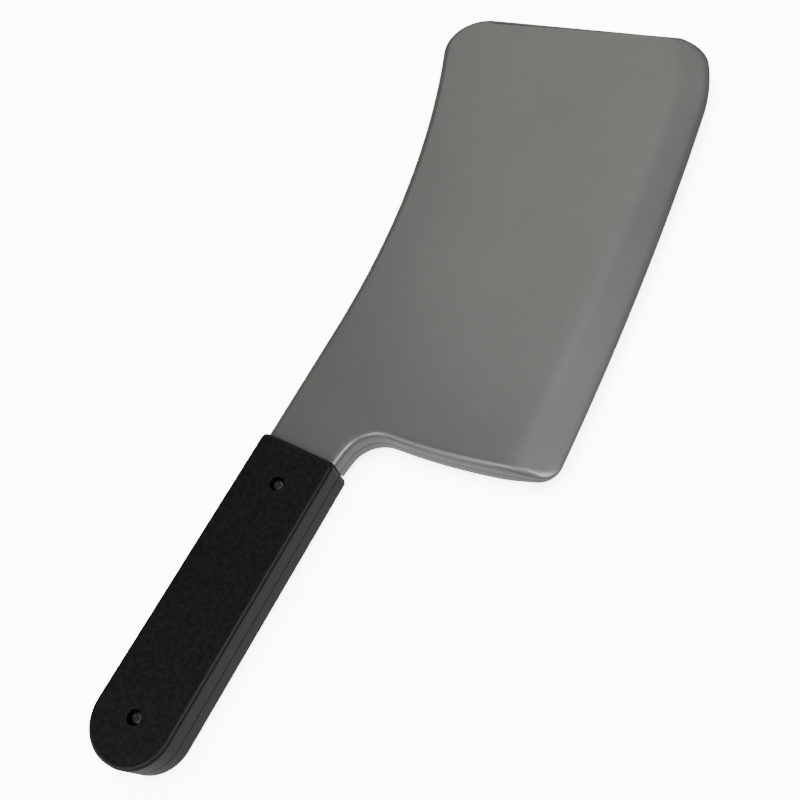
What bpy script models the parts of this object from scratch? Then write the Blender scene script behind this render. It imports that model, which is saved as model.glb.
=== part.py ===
"""Cleaver: a hollow moulded blade in two glued shells, held by its tang in a
grip of two halves that two self-tapping screws pull together.

Metres, +Z up. The cleaver lies flat on the rear half of its grip. +X runs from
the butt of the grip to the tip of the blade, the cutting edge faces -Y, and the
origin is the centre of the grip's rear face.
"""
import math

import bmesh
import bpy
from mathutils import Vector
from mathutils.geometry import delaunay_2d_cdt

# Grip
grip_length = 0.1187
grip_width = 0.031
grip_thickness = 0.0172
butt_radius = 0.0148
bolster_radius = 0.0024
grip_edge_radius = 0.0015
grip_wall = 0.0022
grip_rib_thickness = 0.0014
grip_rib_spacing = 0.0155

# Blade outline, measured from the bolster end of the grip
neck_width = 0.0299
neck_slant = math.radians(8)
neck_fillet_radius = 0.0128
heel_setback = 0.0165
heel_edge_radius = 0.236
heel_corner_radius = 0.008
heel_depth = 0.0854
edge_angle = math.radians(1.2)
belly_radius = 1.51
sweep_radius = 0.0774
sweep_length = 0.0238
tip_reach = 0.213
tip_slant = math.radians(9.2)
tip_edge_radius = 0.0142
tip_spine_radius = 0.017
spine_straight = 0.047
spine_sweep_radius = 0.3675

# Blade section
blade_thickness = 0.0125
edge_thickness = 0.002
bevel_width = 0.015
bevel_blend_radius = 0.027
rim_radius = 0.0026
rim_share = 0.7
blade_wall = 0.0018
blade_rib_thickness = 0.0012
cross_rib_spacing = 0.036
long_rib_spacing = 0.030

# Tang
tang_width = 0.022
tang_thickness = 0.0072
tang_end_radius = 0.006

# Glue pins, on the rear shell and in bosses of the front shell
pin_diameter = 0.003
pin_length = 0.003
pin_boss_diameter = 0.0068

# Screws, each with its recess and bosses
butt_screw_inset = 0.0161
bolster_screw_inset = 0.0150
recess_diameter = 0.0052
head_diameter = 0.0044
head_height = 0.0017
head_sink = 0.0019
shank_diameter = 0.0024
screw_length = 0.0095
cross_slot_width = 0.0007
cross_slot_depth = 0.0008
boss_diameter = 0.0078

# Fits and fineness
clearance = 0.0003
facet_tolerance = 0.00004
merge_distance = 0.00002
round_steps = 3
screw_steps = 16

# Derived places
BOLSTER_X = grip_length / 2
MID_Z = grip_thickness / 2
NECK_END = BOLSTER_X + clearance
SCREW_PLACES = (Vector((-BOLSTER_X + butt_screw_inset, 0)),
                Vector((BOLSTER_X - bolster_screw_inset, 0)))
TANG_HOLE_RADIUS = boss_diameter / 2 + clearance
TANG_END = SCREW_PLACES[0].x - TANG_HOLE_RADIUS - 1.5 * blade_wall


def clear_scene():
    for thing in list(bpy.data.objects):
        bpy.data.objects.remove(thing, do_unlink=True)


def make_collection(name):
    collection = bpy.data.collections.new(name)
    bpy.context.scene.collection.children.link(collection)
    return collection


def make_material(name, colour, roughness, metallic=0.0):
    material = bpy.data.materials.new(name)
    material.use_nodes = True
    shader = material.node_tree.nodes["Principled BSDF"]
    shader.inputs["Base Color"].default_value = (*colour, 1.0)
    shader.inputs["Roughness"].default_value = roughness
    shader.inputs["Metallic"].default_value = metallic
    return material


# Plane geometry

def unit(angle):
    return Vector((math.cos(angle), math.sin(angle)))


def arc(centre, radius, start, end):
    """Points on a circle from angle start to angle end, both included."""
    step = 2 * math.acos(1 - facet_tolerance / radius)
    count = max(2, math.ceil(abs(end - start) / step))
    return [centre + radius * unit(start + (end - start) * i / count) for i in range(count + 1)]


def angle_to(centre, point):
    return math.atan2(point.y - centre.y, point.x - centre.x)


def turned(angle, low):
    """The same angle, brought into the turn that starts at low."""
    return low + (angle - low) % (2 * math.pi)


def circle_meets_circle(centre, radius, other, other_radius):
    """The meeting point on the left of the way from centre to other."""
    way = other - centre
    along = (radius**2 - other_radius**2 + way.length_squared) / (2 * way.length)
    across = math.sqrt(radius**2 - along**2)
    forward = way.normalized()
    return centre + forward * along + Vector((-forward.y, forward.x)) * across


def line_meets_circle(point, direction, centre, radius):
    """The first meeting point along the direction."""
    foot = point + direction * (centre - point).dot(direction)
    return foot - direction * math.sqrt(radius**2 - (foot - centre).length_squared)


def inset(points, distances, closed=True):
    """An outline that runs anticlockwise, moved inwards, each point by its own distance."""
    moved = []
    for i, point in enumerate(points):
        before = (point - points[i - 1]).normalized()
        after = (points[(i + 1) % len(points)] - point).normalized()
        if not closed and i == 0:
            before = after
        if not closed and i == len(points) - 1:
            after = before
        normal = Vector((-before.y - after.y, before.x + after.x)).normalized()
        moved.append(point + normal * distances[i] / normal.dot(Vector((-after.y, after.x))))
    return moved


def nearest_place(point, line):
    """The place on an open line of points that is nearest to a point."""
    places = []
    for start, end in zip(line, line[1:]):
        way = end - start
        share = min(1, max(0, (point - start).dot(way) / way.length_squared))
        places.append(start + way * share)
    return min(places, key=lambda place: (place - point).length)


def without_doubles(points):
    kept = [points[0]]
    for point in points[1:]:
        if (point - kept[-1]).length > merge_distance:
            kept.append(point)
    return kept


# The long curves of the blade: heel edge, belly, the sweep ahead of it, tip line and spine
heel_x = BOLSTER_X + heel_setback
heel_centre = Vector((heel_x + heel_edge_radius, -neck_width / 2))
belly_centre = Vector((heel_x - belly_radius * math.sin(edge_angle),
                       -heel_depth + belly_radius * math.cos(edge_angle)))
sweep_x = BOLSTER_X + tip_reach - sweep_length
sweep_turn = -math.pi / 2 + math.asin((sweep_x - belly_centre.x) / belly_radius)
sweep_start = belly_centre + belly_radius * unit(sweep_turn)
sweep_centre = sweep_start + (belly_centre - sweep_start) * sweep_radius / belly_radius
tip_line = unit(tip_slant + math.pi / 2)
tip_out = unit(tip_slant)
tip_point = Vector((BOLSTER_X + tip_reach, 0))
spine_centre = Vector((BOLSTER_X + spine_straight, neck_width / 2 + spine_sweep_radius))

# On the edge side the neck widens from the bolster to its fillet
neck_line = unit(-neck_slant)
neck_out = unit(-neck_slant - math.pi / 2)
neck_start = Vector((BOLSTER_X, -neck_width / 2))

# Centres of the rounded corners, each tangent to the two curves that it joins
neck_corner = line_meets_circle(neck_start + neck_out * neck_fillet_radius, neck_line,
                                heel_centre, heel_edge_radius + neck_fillet_radius)
heel_corner = circle_meets_circle(heel_centre, heel_edge_radius - heel_corner_radius,
                                  belly_centre, belly_radius - heel_corner_radius)
tip_edge_corner = line_meets_circle(tip_point - tip_out * tip_edge_radius, tip_line,
                                    sweep_centre, sweep_radius - tip_edge_radius)
tip_spine_corner = line_meets_circle(tip_point - tip_out * tip_spine_radius, tip_line,
                                     spine_centre, spine_sweep_radius + tip_spine_radius)
sweep_end = turned(angle_to(sweep_centre, tip_edge_corner), sweep_turn)


def blade_outline():
    """The blade without its tang, anticlockwise from the neck on the edge side.

    The neck starts a little inside the grip, whose rounded corners it is cut to fit.
    """
    heel_start = turned(angle_to(heel_centre, neck_corner), 0)
    heel_end = turned(angle_to(heel_centre, heel_corner), 0)
    belly_start = turned(angle_to(belly_centre, heel_corner), heel_end)
    spine_start = turned(angle_to(spine_centre, tip_spine_corner), -math.pi / 2)

    points = [neck_start - neck_line * bolster_radius]
    points += arc(neck_corner, neck_fillet_radius, math.pi / 2 - neck_slant,
                  angle_to(neck_corner, heel_centre))
    points += arc(heel_centre, heel_edge_radius, heel_start, heel_end)
    points += arc(heel_corner, heel_corner_radius, heel_end, belly_start)
    points += arc(belly_centre, belly_radius, belly_start - 2 * math.pi, sweep_turn)
    points += arc(sweep_centre, sweep_radius, sweep_turn, sweep_end)
    points += arc(tip_edge_corner, tip_edge_radius, sweep_end, tip_slant)
    points += arc(tip_spine_corner, tip_spine_radius, tip_slant,
                  angle_to(tip_spine_corner, spine_centre))
    points += arc(spine_centre, spine_sweep_radius, spine_start, -math.pi / 2)
    points.append(Vector((points[0].x, neck_width / 2)))
    return without_doubles(points)


def round_bar(low_x, high_x, half_width, low_radius, high_radius):
    """A long plate's outline, anticlockwise, with its own corner radius at each end."""
    corners = ((high_x, -1, high_radius, -90), (high_x, 1, high_radius, 0),
               (low_x, 1, low_radius, 90), (low_x, -1, low_radius, 180))
    points = []
    for x, side, radius, start in corners:
        end_side = 1 if x == high_x else -1
        centre = Vector((x - end_side * radius, side * (half_width - radius)))
        points += arc(centre, radius, math.radians(start), math.radians(start + 90))
    return without_doubles(points)


# Solids

def new_object(name, mesh, collection):
    thing = bpy.data.objects.new(name, mesh)
    collection.objects.link(thing)
    return thing


def plate(name, outline, low, high, collection, rim=0):
    """A flat outline as a filled 2D curve, extruded between two heights about mid-plane."""
    curve = bpy.data.curves.new(name, "CURVE")
    curve.dimensions = "2D"
    curve.fill_mode = "BOTH"
    curve.extrude = (high - low) / 2 - rim
    curve.bevel_depth = rim
    curve.bevel_resolution = round_steps - 1
    curve.offset = -rim
    spline = curve.splines.new("POLY")
    spline.points.add(len(outline) - 1)
    for target, point in zip(spline.points, outline):
        target.co = (point.x, point.y, 0, 1)
    spline.use_cyclic_u = True
    return as_mesh(name, curve, (low + high) / 2, collection)


def as_mesh(name, curve, height, collection):
    """Turn a curve into one closed mesh at a height about mid-plane."""
    guide = new_object(name + "_guide", curve, collection)
    graph = bpy.context.evaluated_depsgraph_get()
    mesh = bpy.data.meshes.new_from_object(guide.evaluated_get(graph))
    bpy.data.objects.remove(guide)
    bpy.data.curves.remove(curve)
    shape = bmesh.new()
    shape.from_mesh(mesh)
    bmesh.ops.remove_doubles(shape, verts=shape.verts, dist=merge_distance / 4)
    bmesh.ops.translate(shape, verts=shape.verts, vec=(0, 0, MID_Z + height))
    bmesh.ops.recalc_face_normals(shape, faces=shape.faces)
    shape.to_mesh(mesh)
    shape.free()
    mesh.name = name
    return new_object(name, mesh, collection)


def cylinder(name, place, radius, low, high, collection):
    """An upright cylinder between two heights about mid-plane."""
    steps = max(12, 2 * math.ceil(math.pi / (2 * math.acos(1 - facet_tolerance / radius))))
    shape = bmesh.new()
    bmesh.ops.create_cone(shape, cap_ends=True, segments=steps, radius1=radius, radius2=radius,
                          depth=high - low)
    bmesh.ops.translate(shape, verts=shape.verts, vec=(place.x, place.y, MID_Z + (low + high) / 2))
    return from_bmesh(name, shape, collection)


def box(name, low, high, collection):
    """A box between two corners, with heights about mid-plane."""
    shape = bmesh.new()
    bmesh.ops.create_cube(shape, size=1)
    size = [high[i] - low[i] for i in range(3)]
    centre = [(high[i] + low[i]) / 2 for i in range(3)]
    bmesh.ops.scale(shape, verts=shape.verts, vec=size)
    bmesh.ops.translate(shape, verts=shape.verts, vec=(centre[0], centre[1], MID_Z + centre[2]))
    return from_bmesh(name, shape, collection)


def from_bmesh(name, shape, collection):
    mesh = bpy.data.meshes.new(name)
    shape.to_mesh(mesh)
    shape.free()
    return new_object(name, mesh, collection)


def boolean(target, others, operation):
    """One exact Boolean of an object with a group of others."""
    group = bpy.data.collections.new(target.name + "_" + operation.lower())
    for other in others:
        group.objects.link(other)
    modifier = target.modifiers.new(operation.capitalize(), "BOOLEAN")
    modifier.operation = operation
    modifier.solver = "EXACT"
    modifier.operand_type = "COLLECTION"
    modifier.collection = group


def baked(thing, name, collection):
    """A copy of an object with its modifiers and place applied, and the object removed."""
    bpy.context.view_layer.update()
    graph = bpy.context.evaluated_depsgraph_get()
    mesh = bpy.data.meshes.new_from_object(thing.evaluated_get(graph))
    mesh.transform(thing.matrix_world)
    bpy.data.objects.remove(thing)
    mesh.name = name
    return new_object(name, mesh, collection)


# Blade

bevel_slope = math.atan2((blade_thickness - edge_thickness) / 2, bevel_width)
blend_end = bevel_width + bevel_blend_radius * math.tan(bevel_slope / 2)


def distance_inside(point):
    """How far a place lies inside the line of the cutting edge."""
    if angle_to(belly_centre, point) < sweep_turn:
        return belly_radius - (point - belly_centre).length
    if angle_to(sweep_centre, point) < sweep_end:
        return sweep_radius - (point - sweep_centre).length
    return sweep_radius - (point - sweep_centre).dot(unit(sweep_end))


def half_thickness(point):
    """Height of the face above mid-plane: bevel, round blend and flat."""
    inside = distance_inside(point)
    short = blend_end - inside
    if short > bevel_blend_radius * math.sin(bevel_slope):
        return edge_thickness / 2 + inside * math.tan(bevel_slope)
    drop = bevel_blend_radius - math.sqrt(bevel_blend_radius**2 - max(0, short)**2)
    return blade_thickness / 2 - drop


def line_inside(distance):
    """A line at one distance inside the cutting edge, past the blade at both ends."""
    overrun = 2 * bevel_width
    first_turn = -math.pi / 2 + math.asin((heel_x - overrun - belly_centre.x) / belly_radius)
    points = arc(belly_centre, belly_radius - distance, first_turn, sweep_turn)
    points += arc(sweep_centre, sweep_radius - distance, sweep_turn, sweep_end)
    points.append(points[-1] + unit(sweep_end + math.pi / 2) * overrun)
    return without_doubles(points)


def rim_at(point):
    """Radius of the rounded rim, which shrinks with the thickness towards the edge."""
    return min(rim_radius, rim_share * half_thickness(point))


def skin_height(point, outline):
    place = nearest_place(point, outline)
    rim = rim_at(place)
    short = max(0, rim - (point - place).length)
    return half_thickness(point) - rim + math.sqrt(rim**2 - short**2)


def blade_solid(outline, collection):
    """The blade's outside: the front skin over its plan, closed by its mirror image.

    The plan is divided along the rims and along the bevel's blend, and each corner of
    the division is raised to the skin. The end at the bolster stays square.
    """
    rims = [rim_at(point) for point in outline]
    turns = [math.pi / 2 * i / round_steps for i in range(round_steps + 1)]
    lines = [inset(outline, [rim * (1 - math.cos(turn)) for rim in rims], closed=False)
             for turn in turns]
    blend_turns = [bevel_slope * i / round_steps for i in range(round_steps + 1)]
    lines += [line_inside(blend_end - bevel_blend_radius * math.sin(turn))
              for turn in blend_turns]
    points, edges = [], []
    for line in lines:
        first = len(points)
        points += line
        edges += [(i, i + 1) for i in range(first, len(points) - 1)]
    points, _, faces, *_ = delaunay_2d_cdt(points, edges, [list(range(len(outline)))], 1,
                                           merge_distance / 4)
    shape = bmesh.new()
    corners = [shape.verts.new((p.x, p.y, skin_height(p, outline))) for p in points]
    for face in faces:
        shape.faces.new([corners[i] for i in face])
    bmesh.ops.delete(shape, geom=[v for v in shape.verts if not v.link_faces], context="VERTS")
    rim_edges = [edge for edge in shape.edges if edge.is_boundary]
    wall = bmesh.ops.extrude_edge_only(shape, edges=rim_edges)["geom"]
    for vert in wall:
        if isinstance(vert, bmesh.types.BMVert):
            vert.co.z = 0
    bmesh.ops.recalc_face_normals(shape, faces=shape.faces)
    skin = from_bmesh("blade_skin", shape, collection)
    skin.location.z = MID_Z
    mirror = skin.modifiers.new("Rear side", "MIRROR")
    mirror.use_axis = (False, False, True)
    mirror.merge_threshold = merge_distance / 4
    return baked(skin, "blade_body", collection)


def room_cutter(name, side, collection):
    """All that lies less than a wall's thickness below the bevel and its blend.

    One section, given as distance inside the edge against height, is spun along the
    belly and the sweep and then run straight out.
    """
    above = unit(bevel_slope + math.pi / 2)
    slope_line = Vector((0, edge_thickness / 2)) - above * blade_wall
    centre = Vector((blend_end, blade_thickness / 2 - bevel_blend_radius))
    round_part = arc(centre, bevel_blend_radius - blade_wall, math.pi / 2 + bevel_slope,
                     math.pi / 2)
    past = Vector((round_part[-1].x + blade_wall, round_part[-1].y + blade_wall / 4))
    section = [slope_line - unit(bevel_slope) * blade_wall] + round_part[:-1] + [past]
    section += [Vector((past.x, blade_thickness)), Vector((section[0].x, blade_thickness))]

    line = line_inside(0)
    shape = bmesh.new()
    rings = []
    for i, point in enumerate(line):
        ahead = (line[min(i + 1, len(line) - 1)] - line[max(i - 1, 0)]).normalized()
        inwards = Vector((-ahead.y, ahead.x))
        places = [point + inwards * corner.x for corner in section]
        rings.append([shape.verts.new((place.x, place.y, MID_Z + side * corner.y))
                      for place, corner in zip(places, section)])
    for ring, after in zip(rings, rings[1:]):
        for i in range(len(section)):
            shape.faces.new((ring[i - 1], ring[i], after[i], after[i - 1]))
    shape.faces.new(rings[0])
    shape.faces.new(rings[-1])
    bmesh.ops.triangulate(shape, faces=shape.faces)
    bmesh.ops.recalc_face_normals(shape, faces=shape.faces)
    return from_bmesh(name, shape, collection)


def is_inside(point, outline, margin):
    """True where a place is inside the outline by more than the margin."""
    if (nearest_place(point, outline) - point).length < margin:
        return False
    crossings = 0
    for i, end in enumerate(outline):
        start = outline[i - 1]
        if (start.y > point.y) != (end.y > point.y):
            meeting = start.x + (end.x - start.x) * (point.y - start.y) / (end.y - start.y)
            crossings += meeting > point.x
    return crossings % 2 == 1


def rib_lines(low, high, spacing):
    """Evenly spaced places between two ends, centred between them."""
    count = max(1, int((high - low) / spacing))
    return [(low + high) / 2 + spacing * (i - (count - 1) / 2) for i in range(count)]


def make_blade(parts, cutters, material):
    outline = blade_outline()
    half = blade_thickness / 2
    tang_half = tang_thickness / 2
    low = Vector((NECK_END, min(p.y for p in outline)))
    high = Vector((max(p.x for p in outline), max(p.y for p in outline)))

    body = blade_solid(outline, cutters)
    grip_space = plate("grip_space", grip_outline(clearance), -2 * half, 2 * half, cutters)
    boolean(body, [grip_space], "DIFFERENCE")
    body = baked(body, "blade_body", cutters)
    tang = plate("tang", round_bar(TANG_END, low.x + 2 * blade_wall, tang_width / 2,
                                   tang_end_radius, blade_wall), -tang_half, tang_half, cutters)
    boolean(body, [tang], "UNION")
    body = baked(body, "blade_body", cutters)

    long_ribs = rib_lines(low.y, high.y, long_rib_spacing)
    cross_ribs = rib_lines(low.x, high.x, cross_rib_spacing)
    pins = [Vector((x, y)) for i, x in enumerate(cross_ribs) for j, y in enumerate(long_ribs)
            if (i + j) % 2 == 0 and is_inside(Vector((x, y)), outline, bevel_width)]

    # The room inside the blade, less the wall at the neck, the ribs and the pin bosses
    reach = blade_rib_thickness / 2
    room = plate("blade_room", inset(outline, [blade_wall] * len(outline)), blade_wall - half,
                 half - blade_wall, cutters)
    fill = [room_cutter("room_cutter_front", 1, cutters),
            room_cutter("room_cutter_rear", -1, cutters)]
    fill.append(box("neck_wall", (-low.x, low.y, -half), (low.x + blade_wall, high.y, half),
                    cutters))
    fill += [box(f"long_rib_{i}", (low.x + 3 * blade_wall, y - reach, -half),
                 (high.x, y + reach, half), cutters) for i, y in enumerate(long_ribs)]
    fill += [box(f"cross_rib_{i}", (x - reach, low.y, -half), (x + reach, high.y, half), cutters)
             for i, x in enumerate(cross_ribs)]
    fill += [cylinder(f"pin_boss_{i}", pin, pin_boss_diameter / 2, -half, half, cutters)
             for i, pin in enumerate(pins)]
    boolean(room, fill, "DIFFERENCE")
    room = baked(room, "blade_room", cutters)

    # The room inside the tang, less a ring round each screw hole
    tang_room = plate("tang_room", round_bar(TANG_END + blade_wall, low.x + 3 * blade_wall,
                                             tang_width / 2 - blade_wall,
                                             tang_end_radius - blade_wall, blade_wall / 2),
                      blade_wall - tang_half, tang_half - blade_wall, cutters)
    boolean(tang_room, [cylinder(f"tang_ring_{i}", place, TANG_HOLE_RADIUS + blade_wall, -half,
                                 half, cutters) for i, place in enumerate(SCREW_PLACES)],
            "DIFFERENCE")
    tang_room = baked(tang_room, "tang_room", cutters)
    inner = [room, tang_room]
    inner += [cylinder(f"tang_hole_{i}", place, TANG_HOLE_RADIUS, -half, half, cutters)
              for i, place in enumerate(SCREW_PLACES)]

    sockets = [cylinder(f"pin_socket_{i}", pin, pin_diameter / 2 + clearance, -clearance,
                        pin_length + 2 * clearance, cutters) for i, pin in enumerate(pins)]
    stems = [cylinder(f"pin_{i}", pin, pin_diameter / 2, -pin_length, pin_length, cutters)
             for i, pin in enumerate(pins)]
    half_of(body, "blade_front_shell", 1, inner + sockets, [], parts, cutters, material)
    half_of(body, "blade_rear_shell", -1, inner, stems, parts, cutters, material)
    bpy.data.objects.remove(body)


def half_of(body, name, side, inner, added, parts, cutters, material):
    """The half of a body on one side of mid-plane, less the parting gap and all inside."""
    half = new_object(name + "_blank", body.data.copy(), cutters)
    far, near = -side * grip_thickness, side * clearance / 2
    beyond = box(name + "_parting", (-grip_length, -grip_length, min(far, near)),
                 (3 * grip_length, grip_length, max(far, near)), cutters)
    boolean(half, inner + [beyond], "DIFFERENCE")
    if added:
        boolean(half, added, "UNION")
    half = baked(half, name, parts)
    half.data.materials.clear()
    half.data.materials.append(material)


# Grip and screws

def grip_outline(margin):
    """The grip from above, made larger all round by a margin."""
    return round_bar(-BOLSTER_X - margin, BOLSTER_X + margin, grip_width / 2 + margin,
                     butt_radius + margin, bolster_radius + margin)


def make_grip(parts, cutters, material):
    half = grip_thickness / 2
    outline = grip_outline(0)
    body = plate("grip_body", outline, -half, half, cutters, grip_edge_radius)

    # The room inside the grip, less its ribs and screw bosses
    bosses = [cylinder(f"boss_{i}", place, boss_diameter / 2, -half, half, cutters)
              for i, place in enumerate(SCREW_PLACES)]
    reach = grip_rib_thickness / 2
    ribs = [box(f"grip_rib_{i}", (x - reach, -grip_width, -half), (x + reach, grip_width, half),
                cutters)
            for i, x in enumerate(rib_lines(SCREW_PLACES[0].x, SCREW_PLACES[1].x,
                                            grip_rib_spacing))]
    room = plate("grip_room", inset(outline, [grip_wall] * len(outline)), grip_wall - half,
                 half - grip_wall, cutters)
    boolean(room, bosses + ribs, "DIFFERENCE")
    room = baked(room, "grip_room", cutters)

    # The seat of the tang, open at the bolster
    seat_half = tang_thickness / 2 + clearance
    seat = plate("tang_seat", round_bar(TANG_END - clearance, BOLSTER_X + grip_wall,
                                        tang_width / 2 + clearance, tang_end_radius + clearance,
                                        clearance), -seat_half, seat_half, cutters)
    boolean(seat, bosses, "DIFFERENCE")
    seat = baked(seat, "tang_seat", cutters)

    floor = half - head_sink - head_height - clearance
    inner = [room, seat]
    for i, place in enumerate(SCREW_PLACES):
        inner.append(cylinder(f"recess_{i}", place, recess_diameter / 2, floor, grip_thickness,
                              cutters))
        inner.append(cylinder(f"pilot_{i}", place, shank_diameter / 2 + clearance,
                              floor - screw_length - 2 * clearance, half, cutters))
    half_of(body, "handle_front_half", 1, inner, [], parts, cutters, material)
    half_of(body, "handle_rear_half", -1, inner, [], parts, cutters, material)
    bpy.data.objects.remove(body)


def make_screws(parts, cutters, material):
    """Two equal pan-head screws, turned from one profile, with a cross slot."""
    top = grip_thickness / 2 - head_sink
    under = top - head_height
    dome = head_height / 2
    flat = head_diameter / 2 - dome
    profile = [Vector((0, top)), Vector((flat, top))]
    profile += reversed(arc(Vector((flat, top - dome)), dome, 0, math.pi / 2)[:-1])
    profile += [Vector((head_diameter / 2, under)), Vector((shank_diameter / 2, under)),
                Vector((shank_diameter / 2, under - screw_length + shank_diameter)),
                Vector((0, under - screw_length))]
    shape = bmesh.new()
    verts = [shape.verts.new((corner.x, 0, MID_Z + corner.y)) for corner in profile]
    edges = [shape.edges.new(pair) for pair in zip(verts, verts[1:])]
    bmesh.ops.spin(shape, geom=verts + edges, axis=(0, 0, 1), angle=math.tau, steps=screw_steps)
    bmesh.ops.remove_doubles(shape, verts=shape.verts, dist=merge_distance)
    bmesh.ops.recalc_face_normals(shape, faces=shape.faces)
    screw = from_bmesh("screw", shape, cutters)
    slots = [box(f"cross_slot_{i}", (-along, -across, top - cross_slot_depth),
                 (along, across, grip_thickness), cutters)
             for i, (along, across) in enumerate(((flat, cross_slot_width / 2),
                                                  (cross_slot_width / 2, flat)))]
    boolean(screw, slots, "DIFFERENCE")
    screw = baked(screw, "screw", cutters)
    screw.data.materials.append(material)
    for name, place in zip(("butt_screw", "bolster_screw"), SCREW_PLACES):
        new_object(name, screw.data, parts).location.x = place.x
    bpy.data.objects.remove(screw)


def main():
    clear_scene()
    parts = make_collection("cleaver")
    cutters = make_collection("cutters")
    silver = make_material("silver_plastic", (0.19, 0.19, 0.18), 0.38, 0.25)
    black = make_material("black_plastic", (0.012, 0.012, 0.013), 0.42)
    steel = make_material("zinc_plated_steel", (0.45, 0.45, 0.46), 0.3, 1.0)
    make_blade(parts, cutters, silver)
    make_grip(parts, cutters, black)
    make_screws(parts, cutters, steel)
    for cutter in cutters.objects:
        cutter.hide_render = True
        cutter.display_type = "WIRE"


main()
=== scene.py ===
import math
import bmesh
import bpy
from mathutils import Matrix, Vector


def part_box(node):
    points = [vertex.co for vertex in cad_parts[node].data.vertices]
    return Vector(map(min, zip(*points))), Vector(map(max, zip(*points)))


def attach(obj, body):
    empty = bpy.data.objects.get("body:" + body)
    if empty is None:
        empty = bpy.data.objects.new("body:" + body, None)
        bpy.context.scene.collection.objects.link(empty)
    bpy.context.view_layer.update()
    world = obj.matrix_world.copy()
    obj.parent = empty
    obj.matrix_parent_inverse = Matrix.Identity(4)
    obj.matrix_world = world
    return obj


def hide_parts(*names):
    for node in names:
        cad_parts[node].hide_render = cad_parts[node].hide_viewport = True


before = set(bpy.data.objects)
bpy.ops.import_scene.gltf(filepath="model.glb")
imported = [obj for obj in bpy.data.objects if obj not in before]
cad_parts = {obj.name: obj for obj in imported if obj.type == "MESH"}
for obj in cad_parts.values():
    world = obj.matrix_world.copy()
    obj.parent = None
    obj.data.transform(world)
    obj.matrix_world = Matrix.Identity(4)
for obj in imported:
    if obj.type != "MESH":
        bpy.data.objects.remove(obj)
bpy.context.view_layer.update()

gripLow, gripTop = (Vector(corner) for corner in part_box("handle_front_half"))
bladeLow, bladeTop = (Vector(corner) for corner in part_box("blade_front_shell"))
midHeight = gripTop.z / 2                 # the parting plane of blade and grip
halfGap = gripLow.z - midHeight           # from the parting plane to each half
fitGap = 2 * halfGap                      # between pieces that touch
print("frame loaded, grip", [round(1000 * size, 2) for size in gripTop - gripLow])


# Modelling helpers

def choose(kind, test):                   # in edit mode: select what passes, and nothing else
    bpy.ops.mesh.select_mode(type=kind)
    bpy.ops.mesh.select_all(action="DESELECT")
    mesh = bmesh.from_edit_mesh(bpy.context.object.data)
    items = {"VERT": mesh.verts, "EDGE": mesh.edges, "FACE": mesh.faces}[kind]
    for item in items:
        if not item.hide and test(item):
            item.select_set(True)
    mesh.select_flush_mode()
    bmesh.update_edit_mesh(bpy.context.object.data)

def edgesAt(test):                        # edges with both ends where the test says
    choose("EDGE", lambda edge: all(test(end.co) for end in edge.verts))

def startPoint(name, place):              # a piece that starts as one point, in edit mode
    bpy.ops.object.select_all(action="DESELECT")
    bpy.ops.mesh.primitive_plane_add(size=0.001, location=place)
    return openPiece(name, merge=True)

def openPiece(name, merge=False):
    piece = bpy.context.object
    piece.name = piece.data.name = name
    bpy.ops.object.transform_apply(location=True, rotation=True, scale=True)
    bpy.ops.object.mode_set(mode="EDIT")
    bpy.ops.mesh.select_mode(type="VERT")
    bpy.ops.mesh.select_all(action="SELECT")
    if merge:
        bpy.ops.mesh.merge(type="CENTER")
        bpy.ops.mesh.select_all(action="SELECT")
    return piece

def startBox(name, low, top):             # a box between two corners, in edit mode
    bpy.ops.object.select_all(action="DESELECT")
    centre = (Vector(low) + Vector(top)) / 2
    bpy.ops.mesh.primitive_cube_add(size=1, location=centre, scale=Vector(top) - Vector(low))
    return openPiece(name)

def closePiece(piece):
    bpy.ops.mesh.select_all(action="SELECT")
    bpy.ops.mesh.normals_make_consistent(inside=False)
    bpy.ops.object.mode_set(mode="OBJECT")
    return piece

def extrudeBy(x, y, z):
    bpy.ops.mesh.extrude_region_move(TRANSFORM_OT_translate={"value": (x, y, z)})

def makeActive(piece):
    bpy.ops.object.select_all(action="DESELECT")
    piece.select_set(True)
    bpy.context.view_layer.objects.active = piece

def mirroredCopy(piece, name):            # the same half, turned over about the parting plane
    makeActive(piece)
    bpy.ops.object.duplicate(linked=False)
    copy = openPiece(name)
    bpy.ops.transform.resize(value=(1, 1, -1), center_override=(0, 0, midHeight))
    return closePiece(copy)

def combine(piece, others, operation):
    for other in others:
        makeActive(piece)
        bpy.ops.object.modifier_add(type="BOOLEAN")
        modifier = piece.modifiers[-1]
        modifier.operation = operation
        modifier.solver = "EXACT"
        modifier.object = other
        bpy.ops.object.modifier_apply(modifier=modifier.name)
        bpy.data.objects.remove(other)

def cutAway(piece, cutters):
    combine(piece, cutters, "DIFFERENCE")

def post(radius, place, low, top, sides=64):   # an upright round cutter
    bpy.ops.object.select_all(action="DESELECT")
    bpy.ops.mesh.primitive_cylinder_add(vertices=sides, radius=radius, depth=top - low,
                                        location=(place.x, place.y, (low + top) / 2))
    bpy.ops.object.transform_apply(location=True, rotation=True, scale=True)
    return bpy.context.object

def finishPiece(piece, node, material, smoothAngle=32):
    makeActive(piece)
    bpy.ops.object.shade_smooth_by_angle(angle=math.radians(smoothAngle))
    bpy.ops.object.modifier_add(type="WEIGHTED_NORMAL")
    piece.modifiers[-1].keep_sharp = True
    bpy.ops.object.modifier_apply(modifier=piece.modifiers[-1].name)
    piece.data.materials.clear()
    piece.data.materials.append(material)
    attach(piece, "root")
    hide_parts(node)
    print(piece.name, len(piece.data.polygons), "faces")


# Materials: a socket that works in sums, and one way to add any other node

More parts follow.
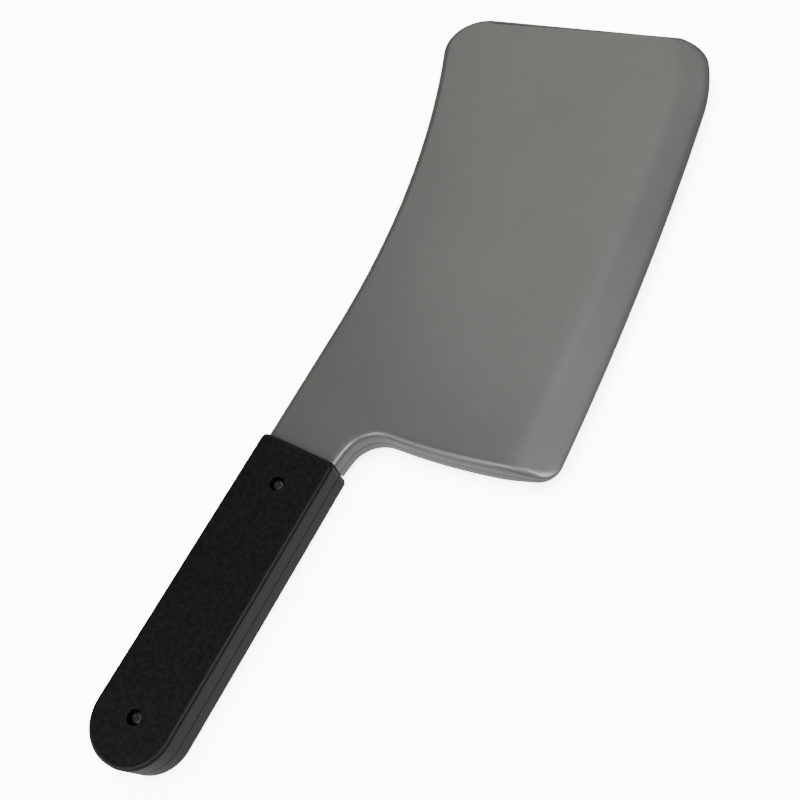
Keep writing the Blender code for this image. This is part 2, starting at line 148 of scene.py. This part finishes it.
class Wire:
    def __init__(self, tree, socket=None):
        self.tree = tree
        self.socket = socket

    def node(self, kind, settings, sockets, output=0):
        made = self.tree.nodes.new(kind)
        for name, value in settings.items():
            if name == "stops":
                self.setStops(made.color_ramp, value)
            else:
                setattr(made, name, value)
        for name, value in sockets.items():
            if isinstance(value, Wire):
                self.tree.links.new(value.socket, made.inputs[name])
            else:
                made.inputs[name].default_value = value
        return Wire(self.tree, made.outputs[output])

    def setStops(self, ramp, stops):
        for index, (place, shade) in enumerate(stops):
            stop = ramp.elements[index] if index < 2 else ramp.elements.new(place)
            stop.position = place
            stop.color = (shade, shade, shade, 1)

    def sum(self, operation, first, second):
        return self.node("ShaderNodeMath", {"operation": operation}, {0: first, 1: second})

    def __add__(self, other):
        return self.sum("ADD", self, other)

    def __radd__(self, other):
        return self.sum("ADD", other, self)

    def __sub__(self, other):
        return self.sum("SUBTRACT", self, other)

    def __mul__(self, other):
        return self.sum("MULTIPLY", self, other)

def newMaterial(name, constants):         # its shader, and a wire to start from
    material = bpy.data.materials.new(name)
    material.use_nodes = True
    shader = material.node_tree.nodes["Principled BSDF"]
    for socket, value in constants.items():
        shader.inputs[socket].default_value = value
    return material, shader, Wire(material.node_tree)

def plug(shader, socket, wire):
    wire.tree.links.new(wire.socket, shader.inputs[socket])

def mixColours(wire, share, first, second):
    return wire.node("ShaderNodeMix", {"data_type": "RGBA"},
                     {"Factor": share, 6: (*first, 1), 7: (*second, 1)}, 2)

silverPlan = {
    "darkTone": (0.154, 0.154, 0.151),
    "lightTone": (0.215, 0.215, 0.210),
    "roughness": 0.30,
    "metallic": 0.50,
    "roughnessDrift": 0.04,
    "flowScale": 22,                      # soft clouds of pigment, per metre
    "pigmentScale": 2600,
    "pigmentShare": 0.35,
    "pitScale": 900,
    "pitDepth": 0.00002,
    "pitStrength": 0.5,
}

def makeSilverPlastic(plan):
    material, shader, start = newMaterial("silverPlastic", {"Metallic": plan["metallic"]})
    place = start.node("ShaderNodeTexCoord", {}, {}, "Object")
    flow = start.node("ShaderNodeTexNoise", {}, {"Vector": place, "Scale": plan["flowScale"],
                                                 "Detail": 3})
    pigment = start.node("ShaderNodeTexNoise", {}, {"Vector": place, "Detail": 1,
                                                    "Scale": plan["pigmentScale"]})
    pits = start.node("ShaderNodeTexNoise", {}, {"Vector": place, "Scale": plan["pitScale"],
                                                 "Detail": 2})
    share = flow * (1 - plan["pigmentShare"]) + pigment * plan["pigmentShare"]
    plug(shader, "Base Color", mixColours(start, share, plan["darkTone"], plan["lightTone"]))
    plug(shader, "Roughness", plan["roughness"] + (flow - 0.5) * plan["roughnessDrift"])
    plug(shader, "Normal", start.node("ShaderNodeBump", {}, {
        "Height": pits, "Distance": plan["pitDepth"], "Strength": plan["pitStrength"]}))
    return material

blackPlan = {
    "darkTone": (0.0015, 0.0015, 0.002),
    "lightTone": (0.008, 0.008, 0.009),
    "roughness": 0.44,
    "roughnessDrift": 0.2,
    "specular": 0.29,
    "cloudScale": 650,                    # faint blotches, per metre
    "grainScale": 2000,
    "mottle": 4,                          # contrast of blotches and grain
    "grainDepth": 0.00006,
    "grainStrength": 0.8,
}

def makeBlackPlastic(plan):
    material, shader, start = newMaterial("blackPlastic",
                                          {"Specular IOR Level": plan["specular"]})
    place = start.node("ShaderNodeTexCoord", {}, {}, "Object")
    grain = start.node("ShaderNodeTexNoise", {}, {"Vector": place, "Scale": plan["grainScale"],
                                                  "Detail": 3})
    cloud = start.node("ShaderNodeTexNoise", {}, {"Vector": place, "Detail": 2,
                                                  "Scale": plan["cloudScale"]})
    share = ((grain + cloud) * 0.5 - 0.5) * plan["mottle"] + 0.5
    plug(shader, "Base Color", mixColours(start, share, plan["darkTone"], plan["lightTone"]))
    plug(shader, "Roughness", plan["roughness"] + (cloud - 0.5) * plan["roughnessDrift"])
    plug(shader, "Normal", start.node("ShaderNodeBump", {}, {
        "Height": grain, "Distance": plan["grainDepth"], "Strength": plan["grainStrength"]}))
    return material

shadedZincPlan = {
    # both tones are darker than the zinc's own: painted shade of the deep screw recesses
    "darkTone": (0.10, 0.10, 0.103),
    "lightTone": (0.20, 0.20, 0.205),
    "roughness": 0.32,
    "roughnessDrift": 0.06,
    "bloomScale": 1200,                   # dull spots, per metre
}

def makeZincPlate(plan):
    material, shader, start = newMaterial("zincPlate", {"Metallic": 1.0})
    place = start.node("ShaderNodeTexCoord", {}, {}, "Object")
    bloom = start.node("ShaderNodeTexNoise", {}, {"Vector": place, "Scale": plan["bloomScale"],
                                                  "Detail": 2})
    plug(shader, "Base Color", mixColours(start, bloom, plan["darkTone"], plan["lightTone"]))
    plug(shader, "Roughness", plan["roughness"] + (bloom - 0.5) * plan["roughnessDrift"])
    return material

silverPlastic = makeSilverPlastic(silverPlan)
blackPlastic = makeBlackPlastic(blackPlan)
zincPlate = makeZincPlate(shadedZincPlan)
print("materials made")


jointPlan = {                             # where blade and grip meet
    "tangWidth": 0.022,
    "tangThickness": 0.0072,
    "bolsterRadius": 0.0024,              # rounded corners of the grip, which the neck fits
    "bolsterSteps": 10,
    "neckSteps": 12,
}


# Blade: the outline is drawn with spins, from the bolster along the heel and the cutting
# edge to the tip, and back along the spine. Then it is raised, rimmed and given its bevel.

bladePlan = {
    "neckWidth": 0.0299,
    "neckSlant": 8,                       # degrees, how its edge side widens to the fillet
    "neckFilletRadius": 0.0128,
    "heelSetback": 0.0165,                # from the bolster to the heel edge
    "heelEdgeRadius": 0.236,
    "heelCornerRadius": 0.008,
    "heelDepth": 0.08539,
    "edgeAngle": 1.2,                     # degrees, of the cutting edge at the heel
    "bellyRadius": 1.51,
    "sweepRadius": 0.0774,                # the rounder stretch ahead of the belly
    "sweepLength": 0.0238,                # from its start to the tip line
    "tipReach": 0.21299,
    "tipSlant": 9.2,                      # degrees
    "tipEdgeRadius": 0.0142,
    "tipSpineRadius": 0.017,
    "spineStraight": 0.047,
    "spineSweepRadius": 0.3675,
    "edgeThickness": 0.002,
    "bevelWidth": 0.015,
    "bevelBlendRadius": 0.027,
    "rimRadius": 0.0026,
    "rimSteps": 8,
    "faceGrid": 0.008,
    "bevelRows": 0.00125,
    "bevelColumns": 0.0025,
    "tangEndRadius": 0.006,
    "tangEndSteps": 8,
    "tangHoleRadius": 0.0042,
    "arcTolerance": 0.00001,
}

def unit(angle):
    return Vector((math.cos(angle), math.sin(angle)))

def angleTo(centre, point):
    return math.atan2(point.y - centre.y, point.x - centre.x)

def beyond(centre, corner, radius):       # where a rounded corner touches a curve round centre
    return corner + (corner - centre).normalized() * radius

def roundsMeet(centre, radius, other, otherRadius):
    way = other - centre
    along = (radius**2 - otherRadius**2 + way.length_squared) / (2 * way.length)
    forward = way.normalized()
    side = Vector((-forward.y, forward.x))
    return centre + forward * along + side * math.sqrt(radius**2 - along**2)

def lineMeets(point, direction, centre, radius):
    foot = point + direction * (centre - point).dot(direction)
    return foot - direction * math.sqrt(radius**2 - (foot - centre).length_squared)

def bladeCurves(plan):                    # centres of the long curves and of the round corners
    curves = {}
    bolster = gripTop.x
    heelX = bolster + plan["heelSetback"]
    edgeAngle = math.radians(plan["edgeAngle"])
    belly = Vector((heelX - plan["bellyRadius"] * math.sin(edgeAngle),
                    plan["bellyRadius"] * math.cos(edgeAngle) - plan["heelDepth"]))
    sweepX = bolster + plan["tipReach"] - plan["sweepLength"]
    sweepTurn = -math.pi / 2 + math.asin((sweepX - belly.x) / plan["bellyRadius"])
    sweep = belly + unit(sweepTurn) * (plan["bellyRadius"] - plan["sweepRadius"])
    neckSide = plan["neckWidth"] / 2
    heel = Vector((heelX + plan["heelEdgeRadius"], -neckSide))
    curves["heel"], curves["belly"], curves["sweep"] = heel, belly, sweep
    curves["sweepTurn"] = sweepTurn
    fillet = plan["neckFilletRadius"]
    slant = math.radians(-plan["neckSlant"])
    neckStart = Vector((bolster, -neckSide))
    curves["neckWay"], curves["neckOut"] = unit(slant), unit(slant - math.pi / 2)
    curves["neck"] = lineMeets(neckStart + curves["neckOut"] * fillet, curves["neckWay"],
                               heel, plan["heelEdgeRadius"] + fillet)
    curves["start"] = neckStart - curves["neckWay"] * 2 * plan["rimRadius"]
    curves["heelCorner"] = roundsMeet(heel, plan["heelEdgeRadius"] - plan["heelCornerRadius"],
                                      belly, plan["bellyRadius"] - plan["heelCornerRadius"])
    tipOut = unit(math.radians(plan["tipSlant"]))
    tipLine = Vector((-tipOut.y, tipOut.x))
    tip = Vector((bolster + plan["tipReach"], 0))
    curves["spine"] = Vector((bolster + plan["spineStraight"],
                              neckSide + plan["spineSweepRadius"]))
    curves["tipEdge"] = lineMeets(tip - tipOut * plan["tipEdgeRadius"], tipLine, sweep,
                                  plan["sweepRadius"] - plan["tipEdgeRadius"])
    curves["tipSpine"] = lineMeets(tip - tipOut * plan["tipSpineRadius"], tipLine,
                                   curves["spine"],
                                   plan["spineSweepRadius"] + plan["tipSpineRadius"])
    curves["tipOut"] = tipOut
    curves["sweepEnd"] = angleTo(sweep, curves["tipEdge"])
    return curves

def drawTo(pen, target, centre=None, clockwise=False):    # draw on, straight or round a centre
    if centre is None:
        extrudeBy(target.x - pen.x, target.y - pen.y, 0)
        return target
    turn = (angleTo(centre, target) - angleTo(centre, pen)) % math.tau
    if clockwise:
        turn -= math.tau
    step = 2 * math.acos(1 - bladePlan["arcTolerance"] / (pen - centre).length)
    bpy.ops.mesh.spin(steps=max(3, math.ceil(abs(turn) / step)), angle=-turn,
                      center=(centre.x, centre.y, midHeight), axis=(0, 0, 1))
    return target

def drawOutline(plan, curves):
    pen = curves["start"]
    pen = drawTo(pen, curves["neck"] - curves["neckOut"] * plan["neckFilletRadius"])
    touch = beyond(curves["heel"], curves["neck"], -plan["neckFilletRadius"])
    pen = drawTo(pen, touch, curves["neck"], clockwise=True)
    touch = beyond(curves["heel"], curves["heelCorner"], plan["heelCornerRadius"])
    pen = drawTo(pen, touch, curves["heel"])
    touch = beyond(curves["belly"], curves["heelCorner"], plan["heelCornerRadius"])
    pen = drawTo(pen, touch, curves["heelCorner"])
    touch = curves["belly"] + unit(curves["sweepTurn"]) * plan["bellyRadius"]
    pen = drawTo(pen, touch, curves["belly"])
    touch = beyond(curves["sweep"], curves["tipEdge"], plan["tipEdgeRadius"])
    pen = drawTo(pen, touch, curves["sweep"])
    touch = curves["tipEdge"] + curves["tipOut"] * plan["tipEdgeRadius"]
    pen = drawTo(pen, touch, curves["tipEdge"])
    pen = drawTo(pen, curves["tipSpine"] + curves["tipOut"] * plan["tipSpineRadius"])
    touch = beyond(curves["spine"], curves["tipSpine"], -plan["tipSpineRadius"])
    pen = drawTo(pen, touch, curves["tipSpine"])
    touch = Vector((curves["spine"].x, plan["neckWidth"] / 2))
    pen = drawTo(pen, touch, curves["spine"], clockwise=True)
    drawTo(pen, Vector((curves["start"].x, plan["neckWidth"] / 2)))

def distanceInside(point, plan, curves):  # from the line of the cutting edge
    if angleTo(curves["belly"], point) < curves["sweepTurn"]:
        return plan["bellyRadius"] - (point - curves["belly"]).length
    if angleTo(curves["sweep"], point) < curves["sweepEnd"]:
        return plan["sweepRadius"] - (point - curves["sweep"]).length
    return plan["sweepRadius"] - (point - curves["sweep"]).dot(unit(curves["sweepEnd"]))

def faceHeight(inside, plan, half):       # bevel, round blend and flat, above mid-plane
    edgeHalf = plan["edgeThickness"] / 2
    slope = math.atan2(half - edgeHalf, plan["bevelWidth"])
    blend = plan["bevelBlendRadius"]
    short = plan["bevelWidth"] + blend * math.tan(slope / 2) - inside
    if short > blend * math.sin(slope):
        return edgeHalf + inside * math.tan(slope)
    return half - blend + math.sqrt(blend**2 - max(0, short)**2)

def cutRows(axis, low, top, spacing):     # evenly spaced cuts through all that isn't hidden
    normal = Vector((0, 0, 0))
    normal[axis] = 1
    for i in range(1, math.ceil((top - low) / spacing)):
        bpy.ops.mesh.select_all(action="SELECT")
        bpy.ops.mesh.bisect(plane_co=normal * (low + i * spacing), plane_no=normal)

def makeBladeHalf(plan):
    half = bladeTop.z - midHeight
    curves = bladeCurves(plan)
    piece = startPoint("bladeFrontShell", (*curves["start"], midHeight + halfGap))
    drawOutline(plan, curves)
    bpy.ops.mesh.select_all(action="SELECT")
    bpy.ops.mesh.edge_face_add()
    extrudeBy(0, 0, half - plan["rimRadius"] - halfGap)
    bpy.ops.mesh.select_all(action="SELECT")
    bpy.ops.mesh.normals_make_consistent(inside=False)
    choose("FACE", lambda face: face.normal.z > 0.5)
    turns = [math.pi / 2 * i / plan["rimSteps"] for i in range(plan["rimSteps"] + 1)]
    for turn, nextTurn in zip(turns, turns[1:]):
        bpy.ops.mesh.inset(thickness=plan["rimRadius"] * (math.cos(turn) - math.cos(nextTurn)),
                           depth=plan["rimRadius"] * (math.sin(nextTurn) - math.sin(turn)))
    bpy.ops.mesh.inset(thickness=plan["rimRadius"] / 4, depth=0)
    print("blade drawn, raised and rimmed")

    bpy.ops.mesh.hide(unselected=True)
    cutRows(0, gripTop.x, bladeTop.x, plan["faceGrid"])
    cutRows(1, bladeLow.y, bladeTop.y, plan["faceGrid"])
    bevelEnd = plan["bevelWidth"] + plan["faceGrid"]
    choose("FACE", lambda face: distanceInside(face.calc_center_median().xy, plan, curves)
           < bevelEnd)
    bpy.ops.mesh.hide(unselected=True)
    cutRows(0, gripTop.x, bladeTop.x, plan["bevelColumns"])
    cutRows(1, bladeLow.y, curves["start"].y, plan["bevelRows"])
    bpy.ops.mesh.reveal(select=False)
    print("blade face divided")

    edgesAt(lambda place: place.z < midHeight + 1.5 * halfGap)
    bpy.ops.mesh.bevel(offset=halfGap, segments=2, affect="EDGES")
    bpy.ops.object.mode_set(mode="OBJECT")
    for corner in piece.data.vertices:
        lift = corner.co.z - midHeight
        if lift > 4 * halfGap:
            inside = distanceInside(corner.co.xy, plan, curves)
            corner.co.z = midHeight + lift * faceHeight(inside, plan, half) / half
    cutAway(piece, [gripSpace()])
    combine(piece, [makeTang(plan)], "UNION")
    return piece

def gripSpace():                          # the grip and the gap round it, which the neck fits
    gap = Vector((fitGap, fitGap, 0))
    space = startBox("gripSpace", gripLow - gap - gripTop.z * Vector((0, 0, 1)), gripTop + gap)
    choose("EDGE", lambda edge: all(end.co.x > gripTop.x for end in edge.verts)
           and abs(edge.verts[0].co.z - edge.verts[1].co.z) > fitGap)
    bpy.ops.mesh.bevel(offset=jointPlan["bolsterRadius"] + fitGap,
                       segments=jointPlan["neckSteps"], affect="EDGES")
    return closePiece(space)

def makeTang(plan):                       # half of the tang, which runs from the neck to the butt
    side = jointPlan["tangWidth"] / 2
    tang = startBox("tang", (bladeLow.x, -side, midHeight + halfGap),
                    (gripTop.x + plan["tangEndRadius"], side,
                     midHeight + jointPlan["tangThickness"] / 2))
    choose("EDGE", lambda edge: all(end.co.x < bladeLow.x + fitGap for end in edge.verts)
           and abs(edge.verts[0].co.z - edge.verts[1].co.z) > fitGap)
    bpy.ops.mesh.bevel(offset=plan["tangEndRadius"], segments=plan["tangEndSteps"],
                       affect="EDGES")
    return closePiece(tang)

screwBoxes = [[Vector(corner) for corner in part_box(node)]
              for node in ("butt_screw", "bolster_screw")]
screwPlaces = [(low + top) / 2 for low, top in screwBoxes]

bladeFrontShell = makeBladeHalf(bladePlan)
cutAway(bladeFrontShell, [post(bladePlan["tangHoleRadius"], place, 0, gripTop.z)
                          for place in screwPlaces])
bladeRearShell = mirroredCopy(bladeFrontShell, "bladeRearShell")
finishPiece(bladeFrontShell, "blade_front_shell", silverPlastic)
finishPiece(bladeRearShell, "blade_rear_shell", silverPlastic)


# Grip: a box whose ends, face and parting line are rounded, hollowed for the tang and screws

gripPlan = {
    "buttRadius": 0.0148,
    "buttSteps": 32,
    "edgeRadius": 0.0015,
    "edgeSteps": 8,
    "tangPlay": 0.0003,
    "recessRadius": 0.0026,
    "recessLip": 0.0003,                  # softened mouth of a screw recess
    "lipSteps": 4,
    "recessFloor": 0.0042,                # above mid-plane
    "shankRadius": 0.0015,
}

def makeGripHalf(plan):
    piece = startBox("gripFrontHalf", gripLow, gripTop)
    near = fitGap / 3
    choose("EDGE", lambda edge: all(end.co.x < gripLow.x + near for end in edge.verts)
           and abs(edge.verts[0].co.z - edge.verts[1].co.z) > near)
    bpy.ops.mesh.bevel(offset=plan["buttRadius"], segments=plan["buttSteps"], affect="EDGES")
    choose("EDGE", lambda edge: all(end.co.x > gripTop.x - near for end in edge.verts)
           and abs(edge.verts[0].co.z - edge.verts[1].co.z) > near)
    bpy.ops.mesh.bevel(offset=jointPlan["bolsterRadius"], segments=jointPlan["bolsterSteps"],
                       affect="EDGES")
    edgesAt(lambda place: place.z > gripTop.z - near)
    bpy.ops.mesh.bevel(offset=plan["edgeRadius"], segments=plan["edgeSteps"], affect="EDGES")
    edgesAt(lambda place: place.z < gripLow.z + near)
    bpy.ops.mesh.bevel(offset=halfGap, segments=2, affect="EDGES")
    closePiece(piece)
    seatHalf = jointPlan["tangThickness"] / 2 + plan["tangPlay"]
    seatSide = jointPlan["tangWidth"] / 2 + plan["tangPlay"]
    seat = startBox("tangSeat", (bladeLow.x - plan["tangPlay"], -seatSide, midHeight - seatHalf),
                    (gripTop.x + fitGap, seatSide, midHeight + seatHalf))
    closePiece(seat)
    cutAway(piece, [seat])
    return piece

def cutRecesses(piece, plan):
    floor = midHeight + plan["recessFloor"]
    cutAway(piece, [post(plan["recessRadius"], place, floor, 2 * gripTop.z)
                    for place in screwPlaces])
    makeActive(piece)
    bpy.ops.object.mode_set(mode="EDIT")
    edgesAt(lambda point: point.z > gripTop.z - fitGap / 3 and
            min((point.xy - place.xy).length for place in screwPlaces)
            < plan["recessRadius"] + fitGap / 3)
    bpy.ops.mesh.bevel(offset=plan["recessLip"], segments=plan["lipSteps"], affect="EDGES")
    closePiece(piece)

gripFrontHalf = makeGripHalf(gripPlan)
gripRearHalf = mirroredCopy(gripFrontHalf, "gripRearHalf")
cutRecesses(gripFrontHalf, gripPlan)
for gripHalf in (gripFrontHalf, gripRearHalf):
    cutAway(gripHalf, [post(gripPlan["shankRadius"], place, screwBoxes[0][0].z - fitGap,
                            midHeight + 2 * gripPlan["recessFloor"]) for place in screwPlaces])
finishPiece(gripFrontHalf, "handle_front_half", blackPlastic)
finishPiece(gripRearHalf, "handle_rear_half", blackPlastic)


# Screws: a pan head and shank turned from one profile, with a cross recess

screwPlan = {
    "headHeight": 0.0017,
    "domeRadius": 0.00085,
    "domeSteps": 6,
    "turnSteps": 48,
    "mergeDistance": 0.000002,            # joins what turning and cutting leave side by side
    "shankRadius": 0.0012,
    "crossWidth": 0.0007,
    "crossLength": 0.0027,
    "crossDepth": 0.0008,
}

def makeScrew(plan):
    low, top = screwBoxes[0]
    place = screwPlaces[0]
    headRadius = (top.x - low.x) / 2
    flat = headRadius - plan["domeRadius"]
    under = top.z - plan["headHeight"]
    piece = startPoint("buttScrew", (place.x, place.y, top.z))
    extrudeBy(flat, 0, 0)
    bpy.ops.mesh.spin(steps=plan["domeSteps"], angle=-math.pi / 2, axis=(0, 1, 0),
                      center=(place.x + flat, place.y, top.z - plan["domeRadius"]))
    extrudeBy(0, 0, under - top.z + plan["domeRadius"])
    extrudeBy(plan["shankRadius"] - headRadius, 0, 0)
    extrudeBy(0, 0, low.z + 2 * plan["shankRadius"] - under)
    extrudeBy(-plan["shankRadius"], 0, -2 * plan["shankRadius"])
    bpy.ops.mesh.select_all(action="SELECT")
    bpy.ops.mesh.spin(steps=plan["turnSteps"], angle=math.tau, center=place, axis=(0, 0, 1))
    bpy.ops.mesh.select_all(action="SELECT")
    bpy.ops.mesh.remove_doubles(threshold=plan["mergeDistance"])
    closePiece(piece)
    crossFloor = top.z - plan["crossDepth"]
    for length, width in ((plan["crossLength"], plan["crossWidth"]),
                          (plan["crossWidth"], plan["crossLength"])):
        reach = Vector((length / 2, width / 2, 0))
        slot = startBox("crossSlot", place.xy.to_3d() - reach + Vector((0, 0, crossFloor)),
                        place.xy.to_3d() + reach + Vector((0, 0, 2 * top.z)))
        closePiece(slot)
        cutAway(piece, [slot])
    makeActive(piece)
    bpy.ops.object.mode_set(mode="EDIT")
    bpy.ops.mesh.select_all(action="SELECT")
    bpy.ops.mesh.remove_doubles(threshold=plan["mergeDistance"])
    return closePiece(piece)

buttScrew = makeScrew(screwPlan)
makeActive(buttScrew)
bpy.ops.object.duplicate(linked=False)
bolsterScrew = openPiece("bolsterScrew")
bpy.ops.transform.translate(value=screwPlaces[1] - screwPlaces[0])
closePiece(bolsterScrew)
finishPiece(buttScrew, "butt_screw", zincPlate)
finishPiece(bolsterScrew, "bolster_screw", zincPlate)


# Studio: a white floor and dome that only the camera sees, soft boxes, and air that stands
# for a white table below, a dark room round it and a grey ceiling

cameraPlan = {
    "place": (-0.00612, -0.155136, 0.300949),
    "turn": (26.876, 13.0849, -60.4204),  # degrees about X, Y and Z
    "lens": 41.95,                        # mm
    "sensor": 36,
    "nearest": 0.01,
}

studioPlan = {
    "radius": 4.0,
    "roundSteps": 64,
    "floorDrop": 0.0001,
    "paper": 0.9,
    "paperGlow": 4.0,
    "domeGlow": 7.0,
    "washPlace": (0.1, 0, 1.6),           # a light that falls on the floor alone
    "washAim": (0.1, 0, 0),
    "washSize": 2.0,
    "washPower": 330,
    "airStops": ((0.0, 0.85), (0.30, 0.85), (0.42, 0.45), (0.52, 0.25), (0.70, 0.10),
                 (0.955, 0.12), (1.0, 0.6)),
    "boxAim": (0.10, -0.01, 0.01),
    "boxes": {                            # azimuth, elevation, distance, size, watts, colour
        "keyBox": (260, 48, 1.0, 0.42, 4.6, (1.0, 0.99, 0.99)),
        "frontBox": (194, 47, 1.0, 0.52, 3.3, (1.0, 0.98, 0.95)),
        "leftBox": (156, 21, 1.2, 1.2, 6.6, (1.0, 0.975, 0.95)),
        "rightBox": (8, 46, 1.4, 1.25, 4.6, (1.0, 0.98, 0.92)),
        "edgeBox": (-53, 56, 1.2, 0.6, 0.98, (0.94, 0.97, 1.0)),
    },
}

def makeCamera(plan):
    cameraData = bpy.data.cameras.new("photoCamera")
    cameraData.lens = plan["lens"]
    cameraData.sensor_width = plan["sensor"]
    cameraData.clip_start = plan["nearest"]
    camera = bpy.data.objects.new("photoCamera", cameraData)
    camera.location = plan["place"]
    camera.rotation_euler = [math.radians(angle) for angle in plan["turn"]]
    bpy.context.collection.objects.link(camera)
    bpy.context.scene.camera = camera

def cameraOnly(thing):                    # it neither lights the cleaver nor shows in its gloss
    thing.visible_diffuse = False
    thing.visible_glossy = False
    thing.visible_transmission = False
    thing.visible_shadow = False

def makeStage(plan):
    paper = newMaterial("floorPaper", {
        "Base Color": (plan["paper"], plan["paper"], plan["paper"], 1), "Roughness": 0.9,
        "Emission Color": (1, 1, 1, 1), "Emission Strength": plan["paperGlow"]})[0]
    glow = newMaterial("domeGlow", {
        "Base Color": (0, 0, 0, 1), "Specular IOR Level": 0.0,
        "Emission Color": (1, 1, 1, 1), "Emission Strength": plan["domeGlow"]})[0]
    bpy.ops.object.select_all(action="DESELECT")
    bpy.ops.mesh.primitive_circle_add(vertices=plan["roundSteps"], radius=plan["radius"],
                                      fill_type="NGON", location=(0, 0, -plan["floorDrop"]))
    floor = bpy.context.object
    floor.name = "floor"
    floor.data.materials.append(paper)
    cameraOnly(floor)
    bpy.ops.mesh.primitive_uv_sphere_add(segments=plan["roundSteps"], radius=plan["radius"],
                                         ring_count=plan["roundSteps"] // 2)
    dome = bpy.context.object
    dome.name = "dome"
    dome.data.materials.append(glow)
    cameraOnly(dome)
    wash = softBox("floorWash", plan["washPlace"], plan["washAim"], plan["washSize"],
                   plan["washPower"], (1, 1, 1))
    lit = bpy.data.collections.new("washedFloor")
    lit.objects.link(floor)
    wash.light_linking.receiver_collection = lit

def makeAir(plan):
    world = bpy.data.worlds.new("studioAir")
    world.use_nodes = True
    start = Wire(world.node_tree)
    way = start.node("ShaderNodeTexCoord", {}, {}, "Generated")
    height = start.node("ShaderNodeSeparateXYZ", {}, {"Vector": way}, "Z")
    shade = start.node("ShaderNodeValToRGB", {"stops": plan["airStops"]},
                       {"Fac": height * 0.5 + 0.5})
    world.node_tree.links.new(shade.socket, world.node_tree.nodes["Background"].inputs["Color"])
    bpy.context.scene.world = world

def softBox(name, place, aim, size, power, colour):
    lightData = bpy.data.lights.new(name, "AREA")
    lightData.shape = "SQUARE"
    lightData.size = size
    lightData.energy = power
    lightData.color = colour
    lamp = bpy.data.objects.new(name, lightData)
    lamp.location = place
    lamp.rotation_euler = (Vector(place) - Vector(aim)).to_track_quat("Z", "Y").to_euler()
    bpy.context.collection.objects.link(lamp)
    return lamp

def hangBoxes(plan):
    aim = Vector(plan["boxAim"])
    for name, (azimuth, elevation, distance, size, power, colour) in plan["boxes"].items():
        rise = math.radians(elevation)
        way = (unit(math.radians(azimuth)) * math.cos(rise)).to_3d()
        way.z = math.sin(rise)
        softBox(name, aim + way * distance, aim, size, power, colour)

makeCamera(cameraPlan)
makeStage(studioPlan)
makeAir(studioPlan)
hangBoxes(studioPlan)
print("studio set")
